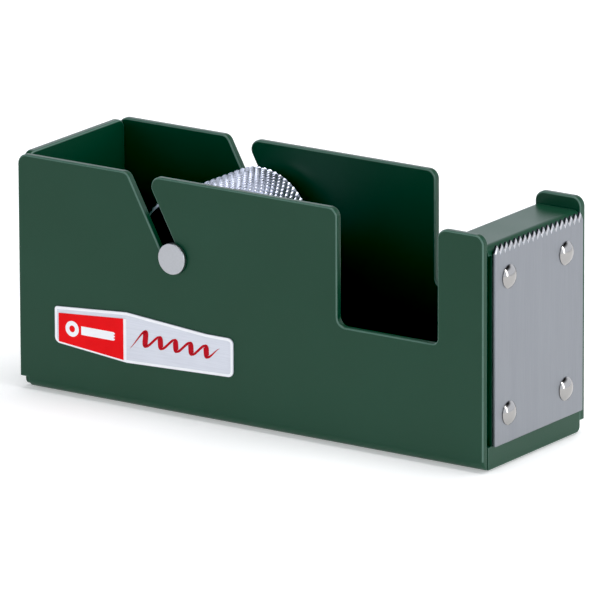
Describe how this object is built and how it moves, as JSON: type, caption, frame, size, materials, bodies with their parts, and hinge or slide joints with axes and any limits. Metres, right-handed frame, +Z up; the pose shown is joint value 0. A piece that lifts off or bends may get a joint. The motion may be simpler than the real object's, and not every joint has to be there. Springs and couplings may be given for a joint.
{
  "type": "tape dispenser",
  "caption": "Small desk tape dispenser folded from green painted steel, with a lift-out knurled drum on an axle, a tape rest and a saw-toothed steel blade plate on its end.",
  "frame": {"origin": "middle of the overall box in X and Y, on the surface the feet stand on", "axes": "+X towards the blade, +Y away from the label, along the drum's axle, +Z up"},
  "size_m": [0.1222, 0.0416, 0.0524],
  "materials": {
    "green_paint": "semi-gloss fine-textured powder paint",
    "blade_steel": "brushed",
    "rivet_steel": "polished",
    "axle_steel": "fine turned",
    "drum_aluminium": "diamond knurled, bright",
    "bush_nylon": "matte",
    "label_silver": "satin foil",
    "label_red": "gloss enamel",
    "foot_rubber": "matte"
  },
  "bodies": {
    "body": {"body_channel": "green_paint", "rear_wall": "green_paint", "blade_bracket": "green_paint", "cutter_blade": "blade_steel", "blade_rivets": "rivet_steel", "label_plate": "label_silver", "label_red_field": "label_red", "foot_rear_label_side": "foot_rubber", "foot_rear_back_side": "foot_rubber", "foot_blade_label_side": "foot_rubber", "foot_blade_back_side": "foot_rubber"},
    "axle": {"axle_rod": "axle_steel", "axle_cap_label_side": "axle_steel", "axle_cap_back_side": "axle_steel", "spacer_label_side": "bush_nylon", "spacer_back_side": "bush_nylon"},
    "drum": {"tape_drum": "drum_aluminium", "drum_bush_label_side": "bush_nylon", "drum_bush_back_side": "bush_nylon"}
  },
  "joints": [
    {"name": "axle_lift", "type": "slide", "parent": "body", "child": "axle", "axis": [-0.4772, 0, 0.8788], "range_m": [0, 0.045]},
    {"name": "drum_spin", "type": "hinge", "parent": "axle", "child": "drum", "pos_m": [-0.02015, 0, 0.0352], "axis": [0, 1, 0], "continuous": true}
  ]
}
